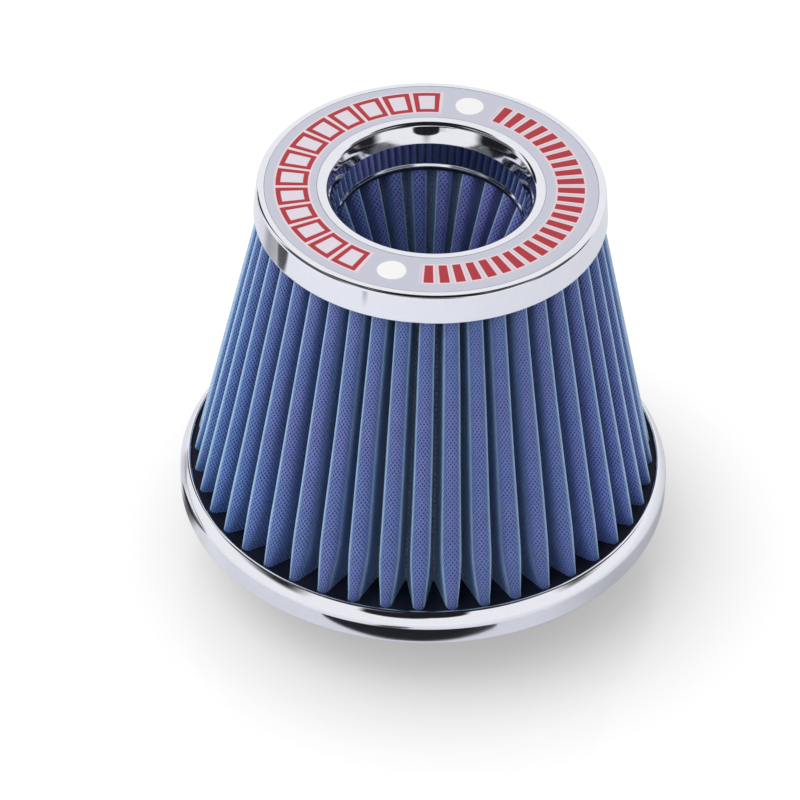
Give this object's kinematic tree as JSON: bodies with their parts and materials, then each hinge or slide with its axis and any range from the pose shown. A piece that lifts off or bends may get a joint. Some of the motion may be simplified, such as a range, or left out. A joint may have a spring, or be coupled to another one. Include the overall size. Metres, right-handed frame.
{
  "type": "cone air filter",
  "caption": "Cone-shaped engine intake filter with blue pleated outer cone, inverted pleated inner cone, bright end rings and a rubber neck held by a hose clamp.",
  "frame": {"origin": "middle of the neck's lower end, on the plane that the filter rests on", "axes": "+Z is the filter's axis, from the neck up through the inlet; -Y faces the camera and the clamp screw is at +Y"},
  "size_m": [0.155, 0.155, 0.142],
  "materials": {
    "bright_ring": "bright chrome plate",
    "satin_plate": "satin silver",
    "urethane": "dark blue-black cast urethane",
    "coated_screen": "blue coated wire mesh",
    "cotton_media": "dyed and oiled cotton gauze",
    "plain_screen": "plain wire mesh",
    "clip_steel": "plain strip",
    "neck_rubber": "matt moulded black",
    "clamp_steel": "rolled stainless strip",
    "screw_steel": "zinc plated"
  },
  "bodies": {
    "root": {"top_ring": "bright_ring", "face_plate": "satin_plate", "top_potting": "urethane", "outer_screen": "coated_screen", "outer_media": "cotton_media", "outer_backing_screen": "plain_screen", "outer_seam_clip": "clip_steel", "inner_screen": "coated_screen", "inner_media": "cotton_media", "inner_backing_screen": "plain_screen", "inner_seam_clip": "clip_steel", "inner_plug": "urethane", "base_potting": "urethane", "base_ring": "bright_ring", "neck_flange": "neck_rubber", "clamp_band": "clamp_steel", "clamp_housing": "clamp_steel", "clamp_screw": "screw_steel"}
  },
  "joints": []
}
